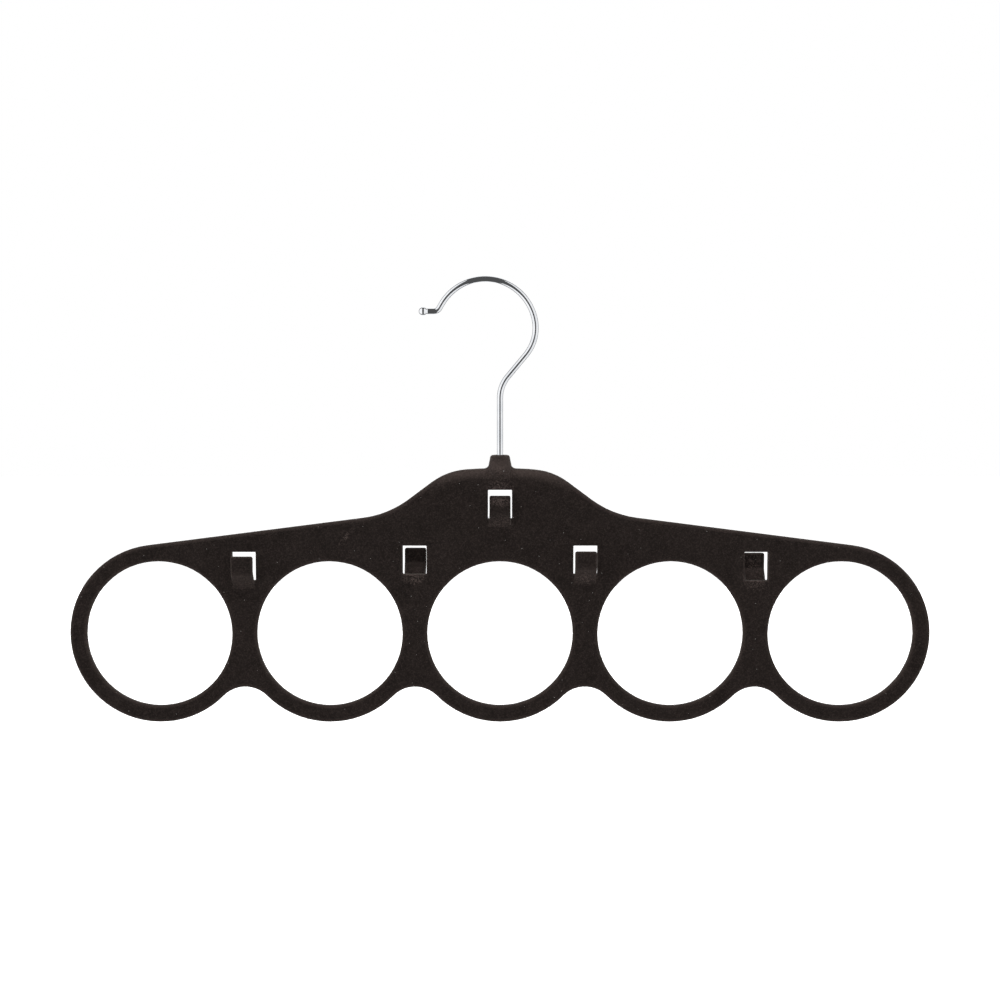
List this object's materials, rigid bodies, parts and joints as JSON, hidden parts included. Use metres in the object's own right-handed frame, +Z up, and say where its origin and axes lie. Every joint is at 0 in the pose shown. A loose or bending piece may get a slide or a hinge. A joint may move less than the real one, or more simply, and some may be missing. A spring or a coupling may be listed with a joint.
{
  "type": "scarf hanger",
  "caption": "Flat flocked hanger with a row of scarf rings, small tongue hooks in windows, and a swivelling wire hook.",
  "frame": {"origin": "inside the crook, straight above the swivel axis, where the rail bears when the hanger hangs level", "axes": "+Z up along the swivel axis, +X along the row of rings, front faces -Y"},
  "size_m": [0.4492, 0.0214, 0.2326],
  "materials": {
    "chromed_wire": "bright chrome on steel wire",
    "moulded_core": "as moulded, hidden under the flock",
    "black_flock": "short velvet-like flock"
  },
  "bodies": {
    "hook": {"swivel_hook": "chromed_wire"},
    "frame": {"frame_core": "moulded_core", "flock_coat": "black_flock"}
  },
  "joints": [
    {"name": "hook_swivel", "type": "hinge", "parent": "hook", "child": "frame", "pos_m": [0, 0, -0.09884], "axis": [0, 0, 1], "continuous": true}
  ]
}
